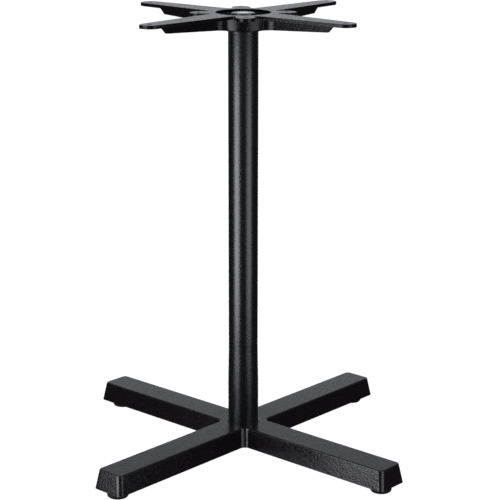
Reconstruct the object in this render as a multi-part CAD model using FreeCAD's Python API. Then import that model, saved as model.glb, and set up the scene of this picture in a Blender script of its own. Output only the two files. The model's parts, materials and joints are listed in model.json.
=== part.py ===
import FreeCAD, Part
import math
import os

from FreeCAD import Vector

# Four star pedestal base for a table. A hollow cast cross stands on four screw-in feet, a round
# steel tube rises from its middle, and a cast spider on top carries the table top. One long rod
# runs down through the tube and its two nuts clamp the spider, the tube and the cross together.
#
# Millimetres. Z is up and the origin is on the floor, on the axis of the tube. X and Y run
# parallel to the sides of a square table top, so the arms point to its corners.

# Whole base
overall_height = 725.0
arm_count = 4
first_arm_angle = 45.0

# Cast cross
base_span = 629.0
rim_height = 13.0
base_top_height = 44.8
arm_rim_width = 59.4
draft_angle = 9.3
arm_corner_radius = 7.5
inner_corner_radius = 10.0
top_edge_radius = 2.0
cross_wall = 5.0
cross_roof = 6.0
cross_rib_thickness = 4.0
cross_rib_depth = 15.0
cross_rib_stations = (95.0, 165.0, 235.0)
hollow_corner_radius = 2.0
hub_boss_diameter = 72.0
hub_boss_thickness = 10.0
foot_boss_diameter = 24.0
foot_inset = 24.0

# Seats for the two ends of the tube
seat_ring_wall = 1.2
seat_ring_height = 1.4
seat_ring_edge = 0.4
seat_depth = 2.0
seat_clearance = 0.2

# Column tube, with its foot expanded a little
column_diameter = 48.0
column_foot_diameter = 50.0
column_wall = 2.0
flare_start = 60.0
flare_length = 75.0

# Tension rod with its nuts and washers
rod_diameter = 22.0
rod_chamfer = 1.5
rod_top_below_plate = 0.6
rod_past_bottom_nut = 2.5
rod_hole_clearance = 0.75
nut_across_flats = 34.0
nut_height = 18.0
nut_face_inset = 0.5
nut_chamfer_angle = 30.0
nut_thread_clearance = 0.05
washer_diameter = 39.0
washer_thickness = 2.5
washer_clearance = 0.5

# Cast spider
spider_depth = 28.0
plate_thickness = 5.5
plate_edge = 0.6
tip_circle_diameter = 412.0
tip_radius = 16.2
arm_taper_angle = 2.75
tab_circle_diameter = 138.0
tab_radius = 15.0
wedge_radius = 4.3
screw_hole_diameter = 6.6
recess_diameter = 88.4
recess_lip = 4.0
bowl_floor_diameter = 81.0
bowl_floor_thickness = 4.0
nut_seat_thickness = 5.0
hub_wall = 6.0
hub_edge_chamfer = 1.5
tube_boss_diameter = 60.0
web_thickness = 5.0
web_root_width = 17.5
web_flare_start = 66.0
web_flare_end = 51.5
web_hub_depth = 26.6
web_end_depth = 17.0
web_end_station = 172.0
gusset_reach = 61.0
gusset_foot = 4.0

# Screw-in feet
pad_diameter = 34.0
pad_edge_chamfer = 3.0
pad_top_chamfer = 1.0
pad_gap = 0.3
stud_diameter = 8.0
stud_length = 22.0
stud_chamfer = 0.8
stud_head_diameter = 16.0
stud_head_height = 3.5
stud_head_depth = 6.0
thread_clearance = 0.05
foot_hole_spare = 3.0

FOOT_NAMES = ("back_right", "back_left", "front_left", "front_right")

# How near two lengths have to be to count as equal when edges are picked
SAME = 1e-4

# Sizes that follow from the ones above
draft = math.tan(math.radians(draft_angle))
rod_radius = rod_diameter / 2
rod_hole_radius = rod_radius + rod_hole_clearance
foot_circle_radius = base_span / 2 - foot_inset
seat_floor = base_top_height - seat_depth
hub_boss_bottom = base_top_height - hub_boss_thickness
spider_bottom = overall_height - spider_depth
plate_bottom = overall_height - plate_thickness
bowl_floor = spider_bottom + seat_depth + nut_seat_thickness
hub_bottom = bowl_floor - bowl_floor_thickness
hub_bottom_radius = bowl_floor_diameter / 2 + hub_wall
column_top = spider_bottom + seat_depth
nut_seat_top = bowl_floor + washer_thickness
nut_seat_bottom = hub_boss_bottom - washer_thickness
rod_top = overall_height - rod_top_below_plate
rod_bottom = nut_seat_bottom - nut_height - rod_past_bottom_nut
pad_top = rim_height - pad_gap
arm_angles = [first_arm_angle + 360.0 / arm_count * i for i in range(arm_count)]
tab_angles = [angle - 180.0 / arm_count for angle in arm_angles]


def turned(shape, angle):
    """A copy of a shape turned about the tube's axis by an angle in degrees."""
    copy = shape.copy()
    copy.rotate(Vector(0, 0, 0), Vector(0, 0, 1), angle)
    return copy


def disc(radius, low, high):
    """A plain cylinder on the axis between two heights."""
    return Part.makeCylinder(radius, high - low, Vector(0, 0, low))


def revolved(outline):
    """A solid turned about the axis from a closed outline of (radius, height) points."""
    points = [Vector(r, 0, z) for r, z in outline]
    face = Part.Face(Part.makePolygon(points + points[:1]))
    return face.revolve(Vector(0, 0, 0), Vector(0, 0, 1), 360)


def flat_edges(solid, z):
    """The edges of a solid that lie flat at one height."""
    flat = []
    for edge in solid.Edges:
        box = edge.BoundBox
        if abs(box.ZMin - z) < SAME and abs(box.ZMax - z) < SAME:
            flat.append(edge)
    return flat


def rising_edges(solid, low, high):
    """The edges of a solid that rise from one height to another, each with its distance out."""
    rising = []
    for edge in solid.Edges:
        box = edge.BoundBox
        if abs(box.ZMin - low) < SAME and abs(box.ZMax - high) < SAME:
            rising.append((edge, math.hypot(box.Center.x, box.Center.y)))
    return rising


def drafted_arm(inset, low, high):
    """One arm along X: a bar whose sides and end lean in by the draft as it rises."""
    lean_low = inset + (low - rim_height) * draft
    lean_high = inset + (high - rim_height) * draft
    wide_low = arm_rim_width / 2 - lean_low
    wide_high = arm_rim_width / 2 - lean_high
    end_low = base_span / 2 - lean_low
    end_high = base_span / 2 - lean_high
    # The wedge grows along Y, so it is laid out there and then stood up
    arm = Part.makeWedge(
        0, low, -wide_low, -wide_high, 0, end_low, high, wide_low, wide_high, end_high
    )
    arm.rotate(Vector(0, 0, 0), Vector(1, 0, 0), 90)
    return arm


def drafted_cross(inset, low, high, corner_radius, inner_radius):
    """A solid cross of drafted arms, inset from the cast outside, with its upright edges rounded."""
    arms = [turned(drafted_arm(inset, low, high), angle) for angle in arm_angles]
    cross = arms[0].fuse(arms[1:]).removeSplitter()
    ends = [edge for edge, out in rising_edges(cross, low, high) if out > arm_rim_width]
    cross = cross.makeFillet(corner_radius, ends)
    inner = [edge for edge, out in rising_edges(cross, low, high) if out < arm_rim_width]
    return cross.makeFillet(inner_radius, inner)


def make_base_cross():
    """The cross: a drafted shell open below, with ribs, a middle boss and four foot bosses."""
    outside = drafted_cross(
        0.0, rim_height, base_top_height, arm_corner_radius, inner_corner_radius
    )
    outside = outside.makeFillet(top_edge_radius, flat_edges(outside, base_top_height))
    roof = base_top_height - cross_roof
    hollow = drafted_cross(
        cross_wall, rim_height, roof, hollow_corner_radius, inner_corner_radius + cross_wall
    )
    shell = outside.cut(hollow)

    rib_low = roof - cross_rib_depth
    ribs = []
    spine_start = hub_boss_diameter / 2 - cross_rib_thickness
    spine = Part.makeBox(
        base_span / 2 - spine_start, cross_rib_thickness, cross_rib_depth,
        Vector(spine_start, -cross_rib_thickness / 2, rib_low),
    )
    bar = Part.makeBox(
        cross_rib_thickness, arm_rim_width, cross_rib_depth,
        Vector(-cross_rib_thickness / 2, -arm_rim_width / 2, rib_low),
    )
    for angle in arm_angles:
        ribs.append(turned(spine, angle))
        for station in cross_rib_stations:
            cross_bar = bar.copy()
            cross_bar.translate(Vector(station, 0, 0))
            ribs.append(turned(cross_bar, angle))
    inside_ribs = ribs[0].fuse(ribs[1:]).common(hollow)

    bosses = [disc(hub_boss_diameter / 2, hub_boss_bottom, roof)]
    foot_boss = disc(foot_boss_diameter / 2, rim_height, roof)
    foot_boss.translate(Vector(foot_circle_radius, 0, 0))
    bosses += [turned(foot_boss, angle) for angle in arm_angles]

    ring_radius = column_foot_diameter / 2 + seat_clearance + seat_ring_wall
    ring = disc(ring_radius, base_top_height - cross_roof, base_top_height + seat_ring_height)
    ring_edges = flat_edges(ring, base_top_height + seat_ring_height)
    ring = ring.makeChamfer(seat_ring_edge, ring_edges)
    casting = shell.fuse([inside_ribs, ring] + bosses)

    seat = disc(
        column_foot_diameter / 2 + seat_clearance,
        seat_floor,
        base_top_height + seat_ring_height,
    )
    rod_hole = disc(rod_hole_radius, 0, base_top_height)
    foot_hole_top = pad_top + stud_length + foot_hole_spare
    foot_hole = disc(stud_diameter / 2 + thread_clearance, 0, foot_hole_top)
    foot_hole.translate(Vector(foot_circle_radius, 0, 0))
    holes = [turned(foot_hole, angle) for angle in arm_angles]
    return casting.cut([seat, rod_hole] + holes).removeSplitter()


def make_column():
    """The tube, whose lower end is expanded to the wider foot that sits in the cross."""
    foot = column_foot_diameter / 2
    body = column_diameter / 2
    flare_low = base_top_height + flare_start
    flare_high = flare_low + flare_length
    outside = [(foot, seat_floor), (foot, flare_low), (body, flare_high), (body, column_top)]
    inside = [(r - column_wall, z) for r, z in reversed(outside)]
    return revolved(outside + inside)


def spider_arm_outline():
    """Plan of one spider arm along X: straight tapering sides and a round end at the screw hole."""
    taper = math.radians(arm_taper_angle)
    centre = tip_circle_diameter / 2
    touch_x = centre + tip_radius * math.sin(taper)
    touch_y = tip_radius * math.cos(taper)
    root_y = touch_y + touch_x * math.tan(taper)
    root_low = Vector(0, -root_y, 0)
    root_high = Vector(0, root_y, 0)
    tip_low = Vector(touch_x, -touch_y, 0)
    tip_high = Vector(touch_x, touch_y, 0)
    end = Vector(centre + tip_radius, 0, 0)
    return Part.Wire(
        [
            Part.makeLine(root_low, tip_low),
            Part.Arc(tip_low, end, tip_high).toShape(),
            Part.makeLine(tip_high, root_high),
            Part.makeLine(root_high, root_low),
        ]
    )


def spider_tab_outline():
    """Plan of one tab along X, with a round end at its screw hole."""
    centre = tab_circle_diameter / 2
    low = Vector(centre, -tab_radius, 0)
    high = Vector(centre, tab_radius, 0)
    root_low = Vector(0, -tab_radius, 0)
    root_high = Vector(0, tab_radius, 0)
    return Part.Wire(
        [
            Part.makeLine(root_low, low),
            Part.Arc(low, Vector(centre + tab_radius, 0, 0), high).toShape(),
            Part.makeLine(high, root_high),
            Part.makeLine(root_high, root_low),
        ]
    )


def make_spider_plate():
    """The flat top of the spider: four long arms and four short tabs, joined by small fillets."""
    lift = Vector(0, 0, plate_bottom)
    rise = Vector(0, 0, plate_thickness)
    blades = []
    for outline, angles in ((spider_arm_outline(), arm_angles), (spider_tab_outline(), tab_angles)):
        blade = Part.Face(outline).extrude(rise)
        blade.translate(lift)
        blades += [turned(blade, angle) for angle in angles]
    plate = blades[0].fuse(blades[1:]).removeSplitter()
    upright = rising_edges(plate, plate_bottom, overall_height)
    wedges = [edge for edge, out in upright if out < tab_circle_diameter / 2]
    plate = plate.makeFillet(wedge_radius, wedges)
    return plate.makeChamfer(plate_edge, flat_edges(plate, overall_height))


def make_spider_webs():
    """The upright webs below the arms and tabs, cut to their side outlines."""
    top = plate_bottom + plate_thickness / 2
    low = overall_height - web_hub_depth

    end_drop = web_end_depth - plate_thickness
    side = Part.Face(
        Part.makePolygon(
            [
                Vector(0, 0, top),
                Vector(0, 0, low),
                Vector(web_end_station, 0, overall_height - web_end_depth),
                Vector(web_end_station + end_drop, 0, plate_bottom),
                Vector(web_end_station + end_drop, 0, top),
                Vector(0, 0, top),
            ]
        )
    )
    side.translate(Vector(0, -web_root_width / 2, 0))
    side_solid = side.extrude(Vector(0, web_root_width, 0))

    # The root widens along an arc that leaves the web's side at a tangent
    thin = web_thickness / 2
    wide = web_root_width / 2
    run = web_flare_start - web_flare_end
    flare_radius = (run ** 2 + (wide - thin) ** 2) / (2 * (wide - thin))
    blend_x = web_flare_start - run / 2
    blend_y = thin + flare_radius - math.sqrt(flare_radius ** 2 - (run / 2) ** 2)
    far = tip_circle_diameter / 2
    flare_high = Part.Arc(
        Vector(web_flare_start, thin, 0), Vector(blend_x, blend_y, 0), Vector(web_flare_end, wide, 0)
    )
    flare_low = Part.Arc(
        Vector(web_flare_end, -wide, 0), Vector(blend_x, -blend_y, 0), Vector(web_flare_start, -thin, 0)
    )
    plan = Part.Wire(
        [
            Part.makeLine(Vector(far, thin, 0), Vector(web_flare_start, thin, 0)),
            flare_high.toShape(),
            Part.makeLine(Vector(web_flare_end, wide, 0), Vector(0, wide, 0)),
            Part.makeLine(Vector(0, wide, 0), Vector(0, -wide, 0)),
            Part.makeLine(Vector(0, -wide, 0), Vector(web_flare_end, -wide, 0)),
            flare_low.toShape(),
            Part.makeLine(Vector(web_flare_start, -thin, 0), Vector(far, -thin, 0)),
            Part.makeLine(Vector(far, -thin, 0), Vector(far, thin, 0)),
        ]
    )
    plan_solid = Part.Face(plan).extrude(Vector(0, 0, overall_height))
    web = side_solid.common(plan_solid)

    gusset_side = Part.Face(
        Part.makePolygon(
            [
                Vector(0, 0, top),
                Vector(0, 0, hub_bottom),
                Vector(hub_bottom_radius + gusset_foot, 0, hub_bottom),
                Vector(gusset_reach, 0, plate_bottom),
                Vector(gusset_reach, 0, top),
                Vector(0, 0, top),
            ]
        )
    )
    gusset_side.translate(Vector(0, -thin, 0))
    gusset = gusset_side.extrude(Vector(0, web_thickness, 0))
    return [turned(web, a) for a in arm_angles] + [turned(gusset, a) for a in tab_angles]


def make_top_spider():
    """The spider casting: plate, webs and a bowl that holds the top nut and seats on the tube."""
    hub_top_radius = recess_diameter / 2 + hub_wall
    bowl_lip = overall_height - recess_lip
    hub = revolved(
        [
            (0, spider_bottom),
            (tube_boss_diameter / 2, spider_bottom),
            (tube_boss_diameter / 2, hub_bottom),
            (hub_bottom_radius - hub_edge_chamfer, hub_bottom),
            (hub_bottom_radius, hub_bottom + hub_edge_chamfer),
            (hub_top_radius, plate_bottom),
            (0, plate_bottom),
        ]
    )
    bowl = revolved(
        [
            (0, bowl_floor),
            (bowl_floor_diameter / 2, bowl_floor),
            (recess_diameter / 2, bowl_lip),
            (recess_diameter / 2, overall_height),
            (0, overall_height),
        ]
    )
    casting = make_spider_plate().fuse([hub] + make_spider_webs())

    seat = disc(column_diameter / 2 + seat_clearance, spider_bottom, column_top)
    rod_hole = disc(rod_hole_radius, spider_bottom, overall_height)
    cuts = [bowl, seat, rod_hole]
    screw_hole = disc(screw_hole_diameter / 2, spider_bottom, overall_height)
    for circle, angles in ((tip_circle_diameter, arm_angles), (tab_circle_diameter, tab_angles)):
        for angle in angles:
            hole = screw_hole.copy()
            hole.translate(Vector(circle / 2, 0, 0))
            cuts.append(turned(hole, angle))
    return casting.cut(cuts).removeSplitter()


def make_rod():
    """The tension rod, with chamfered ends."""
    inner = rod_radius - rod_chamfer
    return revolved(
        [
            (0, rod_bottom),
            (inner, rod_bottom),
            (rod_radius, rod_bottom + rod_chamfer),
            (rod_radius, rod_top - rod_chamfer),
            (inner, rod_top),
            (0, rod_top),
        ]
    )


def make_nut(low):
    """A hexagon nut with its flats facing the sides, chamfered at both faces."""
    corner = nut_across_flats / math.sqrt(3)
    places = [math.radians(60 * i) for i in range(6)]
    points = [Vector(corner * math.cos(a), corner * math.sin(a), low) for a in places]
    prism = Part.Face(Part.makePolygon(points + points[:1])).extrude(Vector(0, 0, nut_height))
    face_radius = nut_across_flats / 2 - nut_face_inset
    drop = (corner - face_radius) * math.tan(math.radians(nut_chamfer_angle))
    envelope = revolved(
        [
            (0, low),
            (face_radius, low),
            (corner, low + drop),
            (corner, low + nut_height - drop),
            (face_radius, low + nut_height),
            (0, low + nut_height),
        ]
    )
    bore = disc(rod_radius + nut_thread_clearance, low, low + nut_height)
    return prism.common(envelope).cut(bore)


def make_washer(low):
    """A plain round washer."""
    outside = disc(washer_diameter / 2, low, low + washer_thickness)
    return outside.cut(disc(rod_radius + washer_clearance, low, low + washer_thickness))


def make_stud():
    """A foot's steel stud: a round head held in the pad, and a thread up into the cross."""
    shank = stud_diameter / 2
    head = stud_head_diameter / 2
    head_low = pad_top - stud_head_depth
    top = pad_top + stud_length
    return revolved(
        [
            (0, head_low),
            (head, head_low),
            (head, head_low + stud_head_height),
            (shank, head_low + stud_head_height),
            (shank, top - stud_chamfer),
            (shank - stud_chamfer, top),
            (0, top),
        ]
    )


def make_pad():
    """A foot's round plastic pad, moulded round the stud's head."""
    radius = pad_diameter / 2
    body = disc(radius, 0, pad_top)
    body = body.makeChamfer(pad_edge_chamfer, flat_edges(body, 0))
    body = body.makeChamfer(pad_top_chamfer, flat_edges(body, pad_top))
    return body.cut(make_stud())


def main():
    parts = {
        "base_cross": make_base_cross(),
        "column": make_column(),
        "top_spider": make_top_spider(),
        "tension_rod": make_rod(),
        "top_washer": make_washer(bowl_floor),
        "top_nut": make_nut(nut_seat_top),
        "bottom_washer": make_washer(nut_seat_bottom),
        "bottom_nut": make_nut(nut_seat_bottom - nut_height),
    }
    pad = make_pad()
    stud = make_stud()
    for name, angle in zip(FOOT_NAMES, arm_angles):
        a = math.radians(angle)
        place = Vector(foot_circle_radius * math.cos(a), foot_circle_radius * math.sin(a), 0)
        for kind, shape in (("foot_pad_", pad), ("foot_stud_", stud)):
            placed = shape.copy()
            placed.translate(place)
            parts[kind + name] = placed

    os.makedirs("parts", exist_ok=True)
    for name, shape in parts.items():
        shape.exportStep("parts/" + name + ".step")
        print(name, len(shape.Solids), shape.isValid(), round(shape.Volume / 1000, 2), "cm3")


main()
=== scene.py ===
# %% [markdown]
# # A star table base in black castings
#
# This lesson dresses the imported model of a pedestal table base: a cast cross on four feet, a round
# tube, a cast spider that carries the table top, and one long rod whose two nuts hold it together.
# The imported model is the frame. Its pieces stay where they are, so that every new piece is placed
# from measures of the frame and never by eye.

# %% Load the frame and measure it
import json
import math

import bpy
import numpy as np
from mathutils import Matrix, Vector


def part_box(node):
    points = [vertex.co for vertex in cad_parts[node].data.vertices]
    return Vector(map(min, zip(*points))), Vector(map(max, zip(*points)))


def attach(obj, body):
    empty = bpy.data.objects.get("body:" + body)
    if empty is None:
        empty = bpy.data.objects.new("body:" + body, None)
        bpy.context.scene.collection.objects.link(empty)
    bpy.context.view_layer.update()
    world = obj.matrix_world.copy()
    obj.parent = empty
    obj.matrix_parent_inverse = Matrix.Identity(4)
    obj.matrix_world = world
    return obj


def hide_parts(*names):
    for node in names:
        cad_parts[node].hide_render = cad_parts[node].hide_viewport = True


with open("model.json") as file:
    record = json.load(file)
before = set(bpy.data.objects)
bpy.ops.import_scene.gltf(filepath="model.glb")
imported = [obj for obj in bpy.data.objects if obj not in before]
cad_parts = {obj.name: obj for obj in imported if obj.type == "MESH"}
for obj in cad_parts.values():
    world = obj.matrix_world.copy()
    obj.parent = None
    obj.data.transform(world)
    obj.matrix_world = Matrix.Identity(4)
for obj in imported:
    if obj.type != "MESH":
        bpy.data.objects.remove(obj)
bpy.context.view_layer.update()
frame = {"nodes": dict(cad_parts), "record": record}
NODES = frame["nodes"]
FEET = [name.removeprefix("foot_pad_") for name in NODES if name.startswith("foot_pad_")]

# %% [markdown]
# ## The camera
#
# The photograph was taken with a long lens from a little above the table's height. A camera fitted
# to the lines of the arms, the round feet and the tube gives its distance, height and tilt. The
# lens is written for a 36 mm sensor. The tube stands a little left of the picture's middle, which
# a small sideways shift of the lens reproduces without turning the camera.

# %% Set the camera
MM = 0.001
PICTURE = 500
FOCAL_PIXELS = 1663.27
AXIS_PIXEL_X = 243.25
CAMERA_DISTANCE = 2.6167
CAMERA_HEIGHT = 1.0364
CAMERA_TILT = math.radians(14.927)
CAMERA_TURN = math.radians(2.918)
SENSOR = 36.0

scene = bpy.context.scene
lens = bpy.data.cameras.new("camera")
lens.sensor_width = SENSOR
lens.lens = FOCAL_PIXELS / PICTURE * SENSOR
lens.shift_x = (PICTURE / 2 - AXIS_PIXEL_X) / PICTURE
camera = bpy.data.objects.new("camera", lens)
camera.location = (
    -CAMERA_DISTANCE * math.sin(CAMERA_TURN),
    -CAMERA_DISTANCE * math.cos(CAMERA_TURN),
    CAMERA_HEIGHT,
)
camera.rotation_euler = (math.pi / 2 - CAMERA_TILT, 0.0, -CAMERA_TURN)
scene.collection.objects.link(camera)
scene.camera = camera
scene.view_settings.view_transform = "Standard"
print("lens", round(lens.lens, 1), "mm, shift", round(lens.shift_x, 4))

# %% [markdown]
# ## Light
#
# Black coats are drawn by what they mirror. On the tube a bright band lies left of the middle and
# a dim one right of it, so two soft boxes stand close to the base, the right one weaker. The bands
# give the angles: a mirror that is turned by half an angle sends the view round by the whole of it.
# Angles are measured round the tube from the camera's side. Both bands fade out near the tube's
# foot, which puts the lower edge of the boxes a little below the floor. The left box reaches so
# far round that its edge also lights the end of the front left arm. A weak box overhead lifts the
# bowl and the inner corners. The photograph says nothing about the back, so a third box stands low
# and far behind, where only the sides that the camera can't see mirror it.


# %% Place the soft boxes
def soft_box(name, angle, distance, height, width, tall, radiance):
    """A rectangular lamp that faces the tube. Its place is a point on a circle round the tube.

    Its power is the radiance times pi times its area, so a wider box is not a brighter one.
    """
    data = bpy.data.lights.new(name, "AREA")
    data.shape = "RECTANGLE"
    data.size = width
    data.size_y = tall
    data.energy = radiance * math.pi * width * tall
    lamp = bpy.data.objects.new(name, data)
    turn = math.radians(angle) - CAMERA_TURN
    lamp.location = (distance * math.sin(turn), -distance * math.cos(turn), height)
    lamp.rotation_euler = (math.pi / 2, 0.0, turn)
    scene.collection.objects.link(lamp)
    print(name, "power in watts", round(data.energy, 1))
    return lamp


soft_box("left_box", angle=-50, distance=0.90, height=0.30, width=0.59, tall=0.76, radiance=5.5)
soft_box("right_box", angle=45, distance=0.90, height=0.30, width=0.56, tall=0.76, radiance=2.3)
soft_box("back_box", angle=180, distance=2.0, height=-0.55, width=1.10, tall=1.30, radiance=2.8)
top = soft_box("top_box", angle=180, distance=0.4, height=2.3, width=1.4, tall=1.4, radiance=0.4)
# The box overhead looks straight down.
top.rotation_euler = (0.0, 0.0, 0.0)


# %% [markdown]
# ## World
#
# The camera sees plain white all round. Coats and metal see that white where a backdrop hangs, low
# behind the object. Its brightness falls off to the sides and upwards, because the flat upper faces
# are grey in the photograph while the edges of the tube stay black. A weaker ring of light runs all
# round at the height that flat tops mirror, so that they are grey from every side, and is weakest
# where the backdrop already does that. Everything else that a mirrored ray can meet is a dim room.
# Each fall-off is one smooth fade of the direction's height or heading, and the backdrop and the
# ring are products of such fades. What mirrored rays see is tinted a little blue, as the greys of
# the coat are.


# %% Build the world
def node(tree, kind, inputs=None, **settings):
    """Adds a shader node. inputs sets its sockets and settings its own properties."""
    made = tree.nodes.new(kind)
    for key, value in settings.items():
        setattr(made, key, value)
    for key, value in (inputs or {}).items():
        made.inputs[key].default_value = value
    return made


def wire(tree, *pairs):
    """Links each pair of (output socket, input socket)."""
    for out_socket, in_socket in pairs:
        tree.links.new(out_socket, in_socket)


def fade(tree, source, start, stop, first, last):
    """The output of a Map Range node that eases from one value to another between two places."""
    made = node(
        tree,
        "ShaderNodeMapRange",
        {1: start, 2: stop, 3: first, 4: last},
        interpolation_type="SMOOTHSTEP",
    )
    wire(tree, (source, made.inputs[0]))
    return made.outputs[0]


def joined(tree, operation, first, second):
    """The output of a Math node on two sockets, or on a socket and a number."""
    made = node(tree, "ShaderNodeMath", operation=operation)
    wire(tree, (first, made.inputs[0]))
    if isinstance(second, float):
        made.inputs[1].default_value = second
    else:
        wire(tree, (second, made.inputs[1]))
    return made.outputs[0]


def up(degrees):
    """The height of a direction at an angle above the horizon."""
    return math.sin(math.radians(degrees))


def aside(degrees):
    """The forward share of a direction at an angle to the side."""
    return math.cos(math.radians(degrees))


def faded(tree, value, height, fades):
    """Multiplies a brightness by several fades over the height of the direction."""
    for lowest, highest, first, last in fades:
        share = fade(tree, height, up(lowest), up(highest), first, last)
        value = joined(tree, "MULTIPLY", value, share)
    return value


AMBIENT = 0.60
ROOM_LIGHT = 0.03
MIRRORED_TINT = (0.89, 0.92, 1.0, 1)
BACKDROP_LIGHT = 0.88
RING_LIGHT = 0.50

# Degrees to the side of straight ahead between which the brightness changes.
BACKDROP_SIDES = (60, 25)
RING_SIDES = (100, 60)

# Each fade runs between two heights in degrees, from one share of the brightness to another.
BACKDROP_FADES = ((-4, 1, 0.0, 1.0), (8, 27, 1.0, 0.32), (32, 60, 1.0, 0.0))
RING_FADES = ((4, 14, 0.0, 1.0), (25, 60, 1.0, 0.0))

world = bpy.data.worlds.new("studio")
scene.world = world
world.use_nodes = True
tree = world.node_tree
tree.nodes.clear()
place = node(tree, "ShaderNodeTexCoord")
parts = node(tree, "ShaderNodeSeparateXYZ")
level = node(tree, "ShaderNodeVectorMath", {1: (1.0, 1.0, 0.0)}, operation="MULTIPLY")
heading = node(tree, "ShaderNodeVectorMath", operation="NORMALIZE")
heading_parts = node(tree, "ShaderNodeSeparateXYZ")
path = node(tree, "ShaderNodeLightPath")
wire(
    tree,
    (place.outputs["Generated"], parts.inputs[0]),
    (place.outputs["Generated"], level.inputs[0]),
    (level.outputs[0], heading.inputs[0]),
    (heading.outputs[0], heading_parts.inputs[0]),
)
height = parts.outputs["Z"]
forward = heading_parts.outputs["Y"]
backdrop = fade(tree, forward, *map(aside, BACKDROP_SIDES), 0.0, BACKDROP_LIGHT)
backdrop = faded(tree, backdrop, height, BACKDROP_FADES)
ring = fade(tree, forward, *map(aside, RING_SIDES), RING_LIGHT, RING_LIGHT / 2)
ring = faded(tree, ring, height, RING_FADES)
mirrored = joined(tree, "MAXIMUM", joined(tree, "MAXIMUM", backdrop, ring), ROOM_LIGHT)
mirror_ray = joined(
    tree, "MAXIMUM", path.outputs["Is Glossy Ray"], path.outputs["Is Transmission Ray"]
)
lit = node(tree, "ShaderNodeMix", {2: AMBIENT}, data_type="FLOAT")
wire(tree, (mirror_ray, lit.inputs[0]), (mirrored, lit.inputs[3]))
seen = joined(tree, "MAXIMUM", lit.outputs[0], path.outputs["Is Camera Ray"])
tint = node(tree, "ShaderNodeMix", {6: (1, 1, 1, 1), 7: MIRRORED_TINT}, data_type="RGBA")
studio = node(tree, "ShaderNodeBackground")
out = node(tree, "ShaderNodeOutputWorld")
wire(
    tree,
    (mirror_ray, tint.inputs[0]),
    (tint.outputs[2], studio.inputs["Color"]),
    (seen, studio.inputs["Strength"]),
    (studio.outputs[0], out.inputs[0]),
)
print("world: matt surfaces see", AMBIENT, "and coats mirror a room of", ROOM_LIGHT)
print("world: the backdrop is", BACKDROP_LIGHT, "and the ring", RING_LIGHT)

# %% [markdown]
# ## Floor
#
# The floor is a large disc. The camera sees it as white, mostly by its own glow, and the small rest
# is matt paint that keeps a faint shadow of the object. Mirrored rays and lamp light pass it: the
# upright faces in the photograph are almost black, so no white floor is mirrored in them, and the
# bright bands run nearly down to the tube's foot, so the boxes reach a little below floor level.

# %% Make the floor
FLOOR_RADIUS = 9.0
FLOOR_CORNERS = 96
OWN_WHITE = 0.94
GLOW = 1.08
FLOOR_PAINT = (0.85, 0.85, 0.85, 1)

bpy.ops.mesh.primitive_circle_add(vertices=FLOOR_CORNERS, radius=FLOOR_RADIUS, fill_type="NGON")
floor = bpy.context.object
floor.name = "floor"
floor_white = bpy.data.materials.new("floor_white")
floor_white.use_nodes = True
tree = floor_white.node_tree
tree.nodes.clear()
matt = node(tree, "ShaderNodeBsdfDiffuse", {"Color": FLOOR_PAINT})
glow = node(tree, "ShaderNodeEmission", {"Color": (1, 1, 1, 1), "Strength": GLOW})
clear = node(tree, "ShaderNodeBsdfTransparent")
path = node(tree, "ShaderNodeLightPath")
shine = node(tree, "ShaderNodeMixShader")
blend = node(tree, "ShaderNodeMixShader")
out = node(tree, "ShaderNodeOutputMaterial")
own = joined(tree, "MULTIPLY", path.outputs["Is Camera Ray"], OWN_WHITE)
passing = joined(tree, "MAXIMUM", path.outputs["Is Glossy Ray"], path.outputs["Is Shadow Ray"])
wire(
    tree,
    (own, shine.inputs[0]),
    (matt.outputs[0], shine.inputs[1]),
    (glow.outputs[0], shine.inputs[2]),
    (passing, blend.inputs[0]),
    (shine.outputs[0], blend.inputs[1]),
    (clear.outputs[0], blend.inputs[2]),
    (blend.outputs[0], out.inputs[0]),
)
floor.data.materials.append(floor_white)
print("floor radius", FLOOR_RADIUS, "m")

# %% [markdown]
# ## Grain, a group that all finishes share
#
# Powder coat melts into a skin with a fine grain on top of a slow waviness that painters call
# orange peel. A moulded pad and a sand casting have the same two scales with other sizes. One node
# group draws both from noise on Object coordinates, so each finish only names its own sizes. The
# group gives a height for the Bump node, a tint and a roughness.


# %% Write a helper for groups and make the grain group
def new_group(name, inputs, outputs):
    """A shader group with named sockets. inputs maps a name to its default, outputs lists names."""
    group = bpy.data.node_groups.new(name, "ShaderNodeTree")
    for socket_name, value in inputs.items():
        kind = "NodeSocketColor" if isinstance(value, tuple) else "NodeSocketFloat"
        socket = group.interface.new_socket(socket_name, in_out="INPUT", socket_type=kind)
        socket.default_value = value
    for socket_name in outputs:
        kind = "NodeSocketColor" if socket_name == "Color" else "NodeSocketFloat"
        group.interface.new_socket(socket_name, in_out="OUTPUT", socket_type=kind)
    return group


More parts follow.
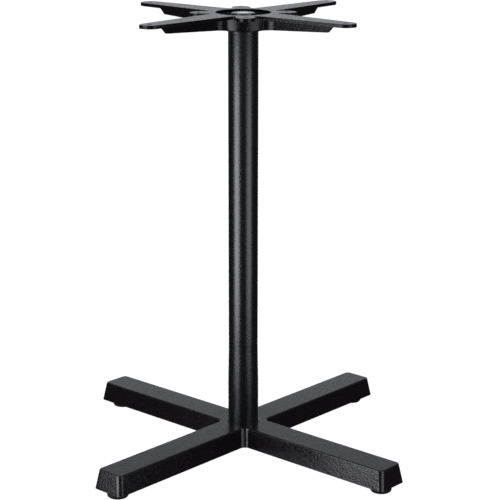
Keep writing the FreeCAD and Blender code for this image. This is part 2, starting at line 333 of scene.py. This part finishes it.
def grain_group():
    """Height is fine noise plus slow noise; tint and roughness follow the same two noises."""
    group = new_group(
        "grain",
        {
            "Color": (0.02, 0.02, 0.02, 1.0),
            "Fine Scale": 900.0,
            "Slow Scale": 150.0,
            "Slow Share": 0.4,
            "Roughness": 0.45,
            "Roughness Swing": 0.1,
            "Tint Swing": 0.4,
        },
        ["Color", "Roughness", "Height"],
    )
    source = node(group, "NodeGroupInput")
    target = node(group, "NodeGroupOutput")
    place = node(group, "ShaderNodeTexCoord")
    fine = node(group, "ShaderNodeTexNoise", {"Detail": 2.0, "Roughness": 0.6})
    slow = node(group, "ShaderNodeTexNoise", {"Detail": 1.0, "Roughness": 0.5})
    height = node(group, "ShaderNodeMix", data_type="FLOAT")
    centred = node(group, "ShaderNodeMath", {1: 0.5}, operation="SUBTRACT")
    swing = node(group, "ShaderNodeMath", operation="MULTIPLY_ADD")
    tint_centred = node(group, "ShaderNodeMath", {1: 0.5}, operation="SUBTRACT")
    tint = node(group, "ShaderNodeMath", {2: 1.0}, operation="MULTIPLY_ADD")
    shade = node(group, "ShaderNodeVectorMath", operation="SCALE")
    wire(
        group,
        (place.outputs["Object"], fine.inputs["Vector"]),
        (place.outputs["Object"], slow.inputs["Vector"]),
        (source.outputs["Fine Scale"], fine.inputs["Scale"]),
        (source.outputs["Slow Scale"], slow.inputs["Scale"]),
        (source.outputs["Slow Share"], height.inputs[0]),
        (fine.outputs[0], height.inputs[2]),
        (slow.outputs[0], height.inputs[3]),
        (slow.outputs[0], centred.inputs[0]),
        (centred.outputs[0], swing.inputs[0]),
        (source.outputs["Roughness Swing"], swing.inputs[1]),
        (source.outputs["Roughness"], swing.inputs[2]),
        (fine.outputs[0], tint_centred.inputs[0]),
        (tint_centred.outputs[0], tint.inputs[0]),
        (source.outputs["Tint Swing"], tint.inputs[1]),
        (source.outputs["Color"], shade.inputs[0]),
        (tint.outputs[0], shade.inputs["Scale"]),
        (shade.outputs[0], target.inputs["Color"]),
        (swing.outputs[0], target.inputs["Roughness"]),
        (height.outputs[0], target.inputs["Height"]),
    )
    return group


GRAIN = grain_group()
print("made the group", GRAIN.name)


# %% [markdown]
# ## The black finishes
#
# The castings have the coarsest skin, the tube a finer and more even one, and the plastic pads are
# nearly smooth. All three are dielectrics, so their colour is nearly black and most of what is seen
# is the sheen of the coat, which leans to blue. The castings' roughness swings most: where a side
# mirrors the edge of a box, the swing shows as a mottle, while the evenly lit tops stay calm. The
# spider is out of sight under the table top and has the thinner, duller coat of the two castings.


# %% Make the black finishes
COAT_TINT = (0.90, 0.93, 1.0, 1)
COAT_TINT_SWING = 0.5


def grained(name, values):
    """A material whose colour and roughness come from the grain group, and the group's node."""
    material = bpy.data.materials.new(name)
    material.use_nodes = True
    tree = material.node_tree
    bsdf = tree.nodes["Principled BSDF"]
    grain = node(tree, "ShaderNodeGroup", values, node_tree=GRAIN)
    wire(
        tree,
        (grain.outputs["Color"], bsdf.inputs["Base Color"]),
        (grain.outputs["Roughness"], bsdf.inputs["Roughness"]),
    )
    return material, tree, bsdf, grain


def raised(tree, bsdf, height, depth, strength=1.0):
    """Bumps a finish by a height, of which 1 is as deep as depth."""
    bump = node(tree, "ShaderNodeBump", {"Strength": strength, "Distance": depth})
    wire(tree, (height, bump.inputs["Height"]), (bump.outputs[0], bsdf.inputs["Normal"]))


def coated(name, color, fine_mm, slow_mm, slow_share, depth_mm, roughness, swing, sheen):
    """A coat over the grain group. Grain sizes and depth are in millimetres."""
    values = {
        "Color": color,
        "Fine Scale": 1.0 / (fine_mm * MM),
        "Slow Scale": 1.0 / (slow_mm * MM),
        "Slow Share": slow_share,
        "Roughness": roughness,
        "Roughness Swing": swing,
        "Tint Swing": COAT_TINT_SWING,
    }
    material, tree, bsdf, grain = grained(name, values)
    bsdf.inputs["Specular IOR Level"].default_value = sheen
    bsdf.inputs["Specular Tint"].default_value = COAT_TINT
    raised(tree, bsdf, grain.outputs["Height"], depth_mm * MM)
    return material


CASTING_SKIN = {
    "color": (0.0030, 0.0020, 0.0027, 1),
    "fine_mm": 2.8,
    "slow_mm": 4.0,
    "slow_share": 0.30,
    "depth_mm": 0.50,
}
CROSS = coated("cross_coat", **CASTING_SKIN, roughness=0.20, swing=0.30, sheen=0.5)
SPIDER = coated("spider_coat", **CASTING_SKIN, roughness=0.25, swing=0.28, sheen=0.28)
TUBE = coated(
    "tube_coat",
    color=(0.0012, 0.0012, 0.0013, 1),
    fine_mm=2.0,
    slow_mm=6.0,
    slow_share=0.3,
    depth_mm=0.26,
    roughness=0.27,
    swing=0.08,
    sheen=0.7,
)
PLASTIC = coated(
    "pad_plastic",
    color=(0.004, 0.004, 0.004, 1),
    fine_mm=0.8,
    slow_mm=7.0,
    slow_share=0.5,
    depth_mm=0.03,
    roughness=0.45,
    swing=0.1,
    sheen=0.4,
)
print("black finishes:", CROSS.name, SPIDER.name, TUBE.name, PLASTIC.name)


# %% [markdown]
# ## Bright zinc
#
# The nuts, washers, rod and studs are turned or rolled steel under a thin bright zinc plate. A
# second group draws fine rings round the upright axis, as a lathe tool leaves them, from the
# distance to the axis. The group takes the place of the axis, so that the marks on a foot's stud
# run round the stud and not round the tube.


# %% Make the turned marks and the zinc
RING_PITCH = 0.45 * MM
RING_DEPTH = 0.01 * MM
RING_STRENGTH = 0.35
BREAK_UP_SCALE = 260.0
CLOUD_FINE_SCALE = 1200.0
CLOUD_SLOW_SCALE = 180.0
CLOUD_ROUGHNESS_SWING = 0.16
CLOUD_TINT_SWING = 0.12


def rings_group():
    """Rings are a sine of the distance to an upright axis, broken up by noise.

    Radian Pitch is the distance over which the sine runs on by one radian.
    """
    group = new_group(
        "turned_marks",
        {
            "Axis X": 0.0,
            "Axis Y": 0.0,
            "Radian Pitch": RING_PITCH / (2 * math.pi),
            "Break Up": 0.5,
        },
        ["Height"],
    )
    source = node(group, "NodeGroupInput")
    target = node(group, "NodeGroupOutput")
    place = node(group, "ShaderNodeTexCoord")
    axis = node(group, "ShaderNodeCombineXYZ")
    moved = node(group, "ShaderNodeVectorMath", operation="SUBTRACT")
    flat = node(group, "ShaderNodeVectorMath", {1: (1.0, 1.0, 0.0)}, operation="MULTIPLY")
    distance = node(group, "ShaderNodeVectorMath", operation="LENGTH")
    noise = node(group, "ShaderNodeTexNoise", {"Scale": BREAK_UP_SCALE, "Detail": 2.0})
    turns = node(group, "ShaderNodeMath", operation="DIVIDE")
    shifted = node(group, "ShaderNodeMath", operation="MULTIPLY_ADD")
    wave = node(group, "ShaderNodeMath", operation="SINE")
    wire(
        group,
        (source.outputs["Axis X"], axis.inputs[0]),
        (source.outputs["Axis Y"], axis.inputs[1]),
        (place.outputs["Object"], moved.inputs[0]),
        (axis.outputs[0], moved.inputs[1]),
        (moved.outputs[0], flat.inputs[0]),
        (flat.outputs[0], distance.inputs[0]),
        (place.outputs["Object"], noise.inputs["Vector"]),
        (distance.outputs["Value"], turns.inputs[0]),
        (source.outputs["Radian Pitch"], turns.inputs[1]),
        (noise.outputs[0], shifted.inputs[0]),
        (source.outputs["Break Up"], shifted.inputs[1]),
        (turns.outputs[0], shifted.inputs[2]),
        (shifted.outputs[0], wave.inputs[0]),
        (wave.outputs[0], target.inputs["Height"]),
    )
    return group


RINGS = rings_group()


def zinc(name, color, roughness, axis=(0.0, 0.0)):
    """Metal with a faint clouding and turned rings round an upright axis."""
    values = {
        "Color": color,
        "Fine Scale": CLOUD_FINE_SCALE,
        "Slow Scale": CLOUD_SLOW_SCALE,
        "Roughness": roughness,
        "Roughness Swing": CLOUD_ROUGHNESS_SWING,
        "Tint Swing": CLOUD_TINT_SWING,
    }
    material, tree, bsdf, _ = grained(name, values)
    bsdf.inputs["Metallic"].default_value = 1.0
    place = {"Axis X": axis[0], "Axis Y": axis[1]}
    marks = node(tree, "ShaderNodeGroup", place, node_tree=RINGS)
    raised(tree, bsdf, marks.outputs["Height"], RING_DEPTH, RING_STRENGTH)
    return material


ROD_ZINC = zinc("bright_zinc", (0.90, 0.89, 0.87, 1), roughness=0.24)
NUT_ZINC = zinc("dull_zinc", (0.47, 0.46, 0.45, 1), roughness=0.32)
print("metal finishes:", ROD_ZINC.name, NUT_ZINC.name)

# %% [markdown]
# ## Which piece stands for which node
#
# The imported record already says which body every node rides on and which finish it has. One
# small table read from it keeps the bodies in one place, and one helper hands them to a piece
# that stands for a node.

# %% Read the bodies, and write the helper
BODIES = {
    name: body
    for body, names in frame["record"]["behaviour"]["bodies"].items()
    for name in names
}


def stand_for(piece, name):
    """Rides a piece on its node's body and hides the node."""
    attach(piece, BODIES[name])
    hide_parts(name)
    print(piece.name, "stands for", name, "on body", BODIES[name])


# %% [markdown]
# ## Surfaces from rings
#
# A tube, a rod, a nut, a washer and a foot are all made by turning, so each of them is a stack of
# rings round an upright axis. Blender could spin a profile, but a thread or a hexagon needs a
# radius that also depends on the angle. So a piece is an array of radii, rings by angles, and one
# helper turns it into a closed mesh.


# %% Write the helpers for rings
SHARP_ANGLE = math.radians(32)


def angles(count):
    """Evenly spaced angles for one turn."""
    return np.linspace(0.0, 2.0 * np.pi, count, endpoint=False)


def ring_points(radius, height, turn, axis=(0.0, 0.0)):
    """Points at radius (rings by angles) and height (one for each ring) round an upright axis."""
    height = np.asarray(height)[:, None]
    radius = np.broadcast_to(radius, (len(height), len(turn)))
    x = axis[0] + radius * np.cos(turn)
    y = axis[1] + radius * np.sin(turn)
    return np.stack([x, y, np.broadcast_to(height, radius.shape)], axis=-1)


def ring_mesh(name, points, material, hollow):
    """A closed mesh through rings of points, given as rings by angles by 3.

    Quads join each ring to the next. On a hollow piece the last ring joins the first. Otherwise
    the first and last ring close in a fan round a point in their middle.
    """
    count, around = points.shape[:2]
    near = np.arange(around)
    far = np.roll(near, -1)
    steps = np.arange(count if hollow else count - 1)
    low = (steps * around)[:, None]
    high = ((steps + 1) % count * around)[:, None]
    quads = np.stack([low + near, low + far, high + far, high + near], axis=-1)
    faces = quads.reshape(-1, 4).tolist()
    vertices = points.reshape(-1, 3)
    if not hollow:
        middles = points[[0, -1]].mean(axis=1)
        first = len(vertices)
        last = (count - 1) * around
        vertices = np.concatenate([vertices, middles])
        faces += np.stack([far, near, np.full(around, first)], axis=-1).tolist()
        faces += np.stack([last + near, last + far, np.full(around, first + 1)], axis=-1).tolist()
    mesh = bpy.data.meshes.new(name)
    mesh.from_pydata(vertices.tolist(), [], faces)
    mesh.materials.append(material)
    mesh.shade_smooth()
    mesh.set_sharp_from_angle(angle=SHARP_ANGLE)
    piece = bpy.data.objects.new(name, mesh)
    scene.collection.objects.link(piece)
    return piece


def corner(radius_at, height_at, size, start, stop, count=5):
    """Points (radius, height) along an arc of the profile, between two angles in degrees."""
    turn = np.radians(np.linspace(start, stop, count))
    return np.stack([radius_at + size * np.cos(turn), height_at + size * np.sin(turn)], axis=-1)


def lathe(name, profile, around, material, hollow, axis=(0.0, 0.0)):
    """Turns a profile of (radius, height) points round an upright axis."""
    points = ring_points(profile[:, :1], profile[:, 1], angles(around), axis)
    return ring_mesh(name, points, material, hollow)


def measure(name):
    """The lowest and highest height of a node, its axis and its outer radius."""
    low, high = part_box(name)
    axis = ((low[0] + high[0]) / 2, (low[1] + high[1]) / 2)
    return low[2], high[2], axis, (high[1] - low[1]) / 2


# %% [markdown]
# ## The tube
#
# The tube's foot is expanded over a mandrel, so it runs out to the wider diameter in a soft S and
# not in a cone with two corners. The S is an easing curve on the height. The cut ends have a small
# rounding where the powder has pulled back from the edge.

# %% Make the tube
TUBE_WALL = 2.0 * MM
TUBE_BODY_RADIUS = 24.0 * MM
TUBE_END_ROUNDING = 0.4 * MM
SEAT_DEPTH = 2.0 * MM
FLARE_START = 60.0 * MM
FLARE_LENGTH = 75.0 * MM
FLARE_ROWS = 25
TUBE_AROUND = 128

tube_low, tube_high, _, tube_foot_radius = measure("column")


def eased(t):
    """Runs from 0 to 1 with a level start and end."""
    t = np.clip(t, 0.0, 1.0)
    return t * t * (3.0 - 2.0 * t)


flare_low = tube_low + SEAT_DEPTH + FLARE_START
rise = np.linspace(flare_low, flare_low + FLARE_LENGTH, FLARE_ROWS)
swell = (tube_foot_radius - TUBE_BODY_RADIUS) * (1.0 - eased((rise - flare_low) / FLARE_LENGTH))
outer = np.stack([TUBE_BODY_RADIUS + swell, rise], axis=-1)
inner = outer[::-1] - [TUBE_WALL, 0.0]
edge = TUBE_END_ROUNDING
tube_profile = np.concatenate(
    [
        corner(tube_foot_radius - edge, tube_low + edge, edge, -90, 0),
        outer,
        corner(TUBE_BODY_RADIUS - edge, tube_high - edge, edge, 0, 90),
        corner(TUBE_BODY_RADIUS - TUBE_WALL + edge, tube_high - edge, edge, 90, 180),
        inner,
        corner(tube_foot_radius - TUBE_WALL + edge, tube_low + edge, edge, 180, 270),
    ]
)
tube = lathe("drawn_tube", tube_profile, TUBE_AROUND, TUBE, hollow=True)
stand_for(tube, "column")

# %% [markdown]
# ## Threads
#
# The frame holds plain cylinders at the thread's outer size. Here each thread is cut for real. The
# depth of the groove is a wave of the height in pitches less the angle in turns, so a level line
# of that value climbs by one pitch each turn, which is a right-handed helix. The same function
# cuts the rod and, a hair wider, the bore of its nut, so that the two mesh.


# %% Write the thread
CREST_SHARE = 0.125
ROOT_SHARE = 0.25
DEPTH_PER_PITCH = 0.6134


def groove(turn, height, pitch):
    """Share of the thread's depth, 0 at the flat crest and 1 at the flat root."""
    phase = (height / pitch - turn / (2.0 * np.pi)) % 1.0
    wave = 1.0 - np.abs(2.0 * phase - 1.0)
    return np.clip((wave - CREST_SHARE) / (1.0 - CREST_SHARE - ROOT_SHARE), 0.0, 1.0)


def thread_depth(pitch):
    """Depth of a metric thread."""
    return DEPTH_PER_PITCH * pitch


def thread_rows(low, high, pitch, per_turn=10):
    """Heights that give each turn of a thread the same number of rings."""
    return np.linspace(low, high, int(round((high - low) / pitch * per_turn)) + 1)


# %% [markdown]
# ## The rod
#
# A rod like this has a rolled thread at both ends only. The middle stays plain, and the groove runs
# out to nothing where the thread ends. A cone at each end is the chamfer that starts the nut.

# %% Make the rod
ROD_PITCH = 2.5 * MM
ROD_THREAD_LENGTH = 60.0 * MM
ROD_CHAMFER = 1.5 * MM
ROD_AROUND = 64

rod_low, rod_high, _, rod_radius = measure("tension_rod")
turn = angles(ROD_AROUND)
heights = np.concatenate(
    [
        thread_rows(rod_low, rod_low + ROD_THREAD_LENGTH, ROD_PITCH),
        thread_rows(rod_high - ROD_THREAD_LENGTH, rod_high, ROD_PITCH),
    ]
)
to_end = np.minimum(heights - rod_low, rod_high - heights)
runout = 1.0 - eased((to_end - ROD_THREAD_LENGTH + 2 * ROD_PITCH) / (2 * ROD_PITCH))
depth = thread_depth(ROD_PITCH) * groove(turn, heights[:, None], ROD_PITCH) * runout[:, None]
chamfer = rod_radius - ROD_CHAMFER + to_end
radius = np.minimum(rod_radius - depth, chamfer[:, None])
rod = ring_mesh("threaded_rod", ring_points(radius, heights, turn), ROD_ZINC, hollow=False)
stand_for(rod, "tension_rod")
print("rod thread:", round(ROD_THREAD_LENGTH / ROD_PITCH), "turns at each end")

# %% [markdown]
# ## The nuts
#
# A hexagon bar is turned to a cone at both faces, and the cone leaves the curved chamfer lines that
# every nut shows. As a formula the radius is the smaller of the hexagon, which depends on the
# angle, and the cone, which depends on the height. The bar's corners are a little worn, which a
# third limit takes care of.


# %% Make the nuts
NUT_FACE_INSET = 0.5 * MM
NUT_CHAMFER = math.radians(30)
NUT_CORNER_WEAR = 0.3 * MM
NUT_COUNTERSINK = 0.5 * MM
NUT_CLEARANCE = 0.05 * MM
NUT_CHAMFER_ROWS = 9
NUT_AROUND = 144


def hexagon(turn, flat_distance):
    """Radius of a hexagon with corners at 0, 60, 120 degrees and so on."""
    sixth = np.pi / 3.0
    return flat_distance / np.cos(turn % sixth - sixth / 2.0)


def make_nut(name, source):
    """A chamfered nut on the rod's axis, with the rod's own thread in its bore."""
    low, high, _, flat_distance = measure(source)
    turn = angles(NUT_AROUND)
    face_radius = flat_distance - NUT_FACE_INSET
    widest = flat_distance / math.cos(math.pi / 6.0) - NUT_CORNER_WEAR
    drop = (widest - face_radius) * math.tan(NUT_CHAMFER)
    rows = np.linspace(0.0, drop, NUT_CHAMFER_ROWS)
    heights = np.concatenate([low + rows, high - rows[::-1]])
    to_face = np.minimum(heights - low, high - heights)
    cone = face_radius + to_face / math.tan(NUT_CHAMFER)
    outside = np.minimum(hexagon(turn, flat_distance), np.minimum(cone, widest)[:, None])

    bore_heights = thread_rows(low, high, ROD_PITCH)[::-1]
    to_face = np.minimum(bore_heights - low, high - bore_heights)
    cut = thread_depth(ROD_PITCH) * groove(turn, bore_heights[:, None], ROD_PITCH)
    countersink = rod_radius + NUT_COUNTERSINK - to_face
    bore = np.maximum(rod_radius + NUT_CLEARANCE - cut, countersink[:, None])
    points = ring_points(
        np.concatenate([outside, bore]), np.concatenate([heights, bore_heights]), turn
    )
    return ring_mesh(name, points, NUT_ZINC, hollow=True)


for end in ("top", "bottom"):
    stand_for(make_nut(end + "_hexagon", end + "_nut"), end + "_nut")


# %% [markdown]
# ## The washers
#
# A washer is punched from strip. The punch rounds the edge where it enters and leaves it sharp
# where it comes out, so the upper rims are rounded and the lower ones are nearly square.


# %% Make the washers
WASHER_BORE_CLEARANCE = 0.5 * MM
PUNCH_ROUNDING = 0.6 * MM
SHARP_ROUNDING = 0.1 * MM
WASHER_AROUND = 96


def make_washer(name, source):
    """A flat ring with rounded upper rims, turned from a closed profile."""
    low, high, _, outside = measure(source)
    bore = rod_radius + WASHER_BORE_CLEARANCE
    sharp, soft = SHARP_ROUNDING, PUNCH_ROUNDING
    profile = np.concatenate(
        [
            corner(outside - sharp, low + sharp, sharp, -90, 0, count=3),
            corner(outside - soft, high - soft, soft, 0, 90),
            corner(bore + soft, high - soft, soft, 90, 180),
            corner(bore + sharp, low + sharp, sharp, 180, 270, count=3),
        ]
    )
    return lathe(name, profile, WASHER_AROUND, NUT_ZINC, hollow=True)


for end in ("top", "bottom"):
    stand_for(make_washer(end + "_ring", end + "_washer"), end + "_washer")


# %% [markdown]
# ## The feet
#
# Each foot is a black moulded pad round the head of a steel stud. The pad's lower edge is well
# rounded so that it slides and does not catch, and a shallow hollow in its sole leaves a ring that
# stands on the floor. The stud is threaded up into the casting, and shows when the foot is let
# down.


# %% Make the feet
PAD_EDGE = 4.5 * MM
PAD_TOP_EDGE = 1.0 * MM
SOLE_HOLLOW = 0.6 * MM
SOLE_RING = 6.0 * MM
SOLE_START = 0.3
SOLE_ROWS = 8
PAD_AROUND = 96
STUD_PITCH = 1.25 * MM
STUD_HEAD_RADIUS = 8.0 * MM
STUD_HEAD_HEIGHT = 3.5 * MM
STUD_RADIUS = 4.0 * MM
STUD_CHAMFER = 0.8 * MM
STUD_AROUND = 40
STUD_COLOR = (0.62, 0.63, 0.65, 1)


def make_pad(corner_name):
    """A pad whose profile runs from its sole over the rim and down into the head's pocket.

    The hollow in the sole is a parabola of the radius. Its rings begin at SOLE_START of the flat
    part and the middle closes in a fan.
    """
    low, high, axis, outside = measure("foot_pad_" + corner_name)
    head_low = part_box("foot_stud_" + corner_name)[0][2]
    head_high = head_low + STUD_HEAD_HEIGHT
    flat_radius = outside - PAD_EDGE
    hollow_radius = flat_radius - SOLE_RING
    sole = np.linspace(SOLE_START * flat_radius, hollow_radius, SOLE_ROWS)
    hollow = SOLE_HOLLOW * (1.0 - (sole / hollow_radius) ** 2)
    profile = np.concatenate(
        [
            np.stack([sole, low + hollow], axis=-1),
            corner(flat_radius, low + PAD_EDGE, PAD_EDGE, -90, 0, count=9),
            corner(outside - PAD_TOP_EDGE, high - PAD_TOP_EDGE, PAD_TOP_EDGE, 0, 90),
            [
                [STUD_RADIUS, high],
                [STUD_RADIUS, head_high],
                [STUD_HEAD_RADIUS, head_high],
                [STUD_HEAD_RADIUS, head_low],
            ],
        ]
    )
    name = "moulded_pad_" + corner_name
    return lathe(name, profile, PAD_AROUND, PLASTIC, hollow=False, axis=axis)


def make_stud(corner_name):
    """A stud with a plain head below and a thread that starts a little above it."""
    low, high, axis, _ = measure("foot_stud_" + corner_name)
    head_high = low + STUD_HEAD_HEIGHT
    turn = angles(STUD_AROUND)
    rows = thread_rows(head_high, high, STUD_PITCH)
    runout = eased((rows - head_high - STUD_PITCH) / STUD_PITCH)
    depth = thread_depth(STUD_PITCH) * groove(turn, rows[:, None], STUD_PITCH) * runout[:, None]
    chamfer = STUD_RADIUS - STUD_CHAMFER + (high - rows)
    shank = np.minimum(STUD_RADIUS - depth, chamfer[:, None])
    head = np.full((2, STUD_AROUND), STUD_HEAD_RADIUS)
    points = ring_points(
        np.concatenate([head, shank]), np.concatenate([[low, head_high], rows]), turn, axis
    )
    finish = zinc("stud_zinc_" + corner_name, STUD_COLOR, roughness=0.3, axis=axis)
    return ring_mesh("threaded_stud_" + corner_name, points, finish, hollow=False)


for corner_name in FEET:
    stand_for(make_pad(corner_name), "foot_pad_" + corner_name)
    stand_for(make_stud(corner_name), "foot_stud_" + corner_name)

# %% [markdown]
# ## The castings
#
# The cross and the spider keep the meshes of the frame, because their true form is already there:
# draft, ribs, bosses, webs and rounded edges. They only take their coats.

# %% Put the coats on the castings
for name, coat in (("base_cross", CROSS), ("top_spider", SPIDER)):
    NODES[name].material_slots[0].material = coat
    print(name, "takes", coat.name)
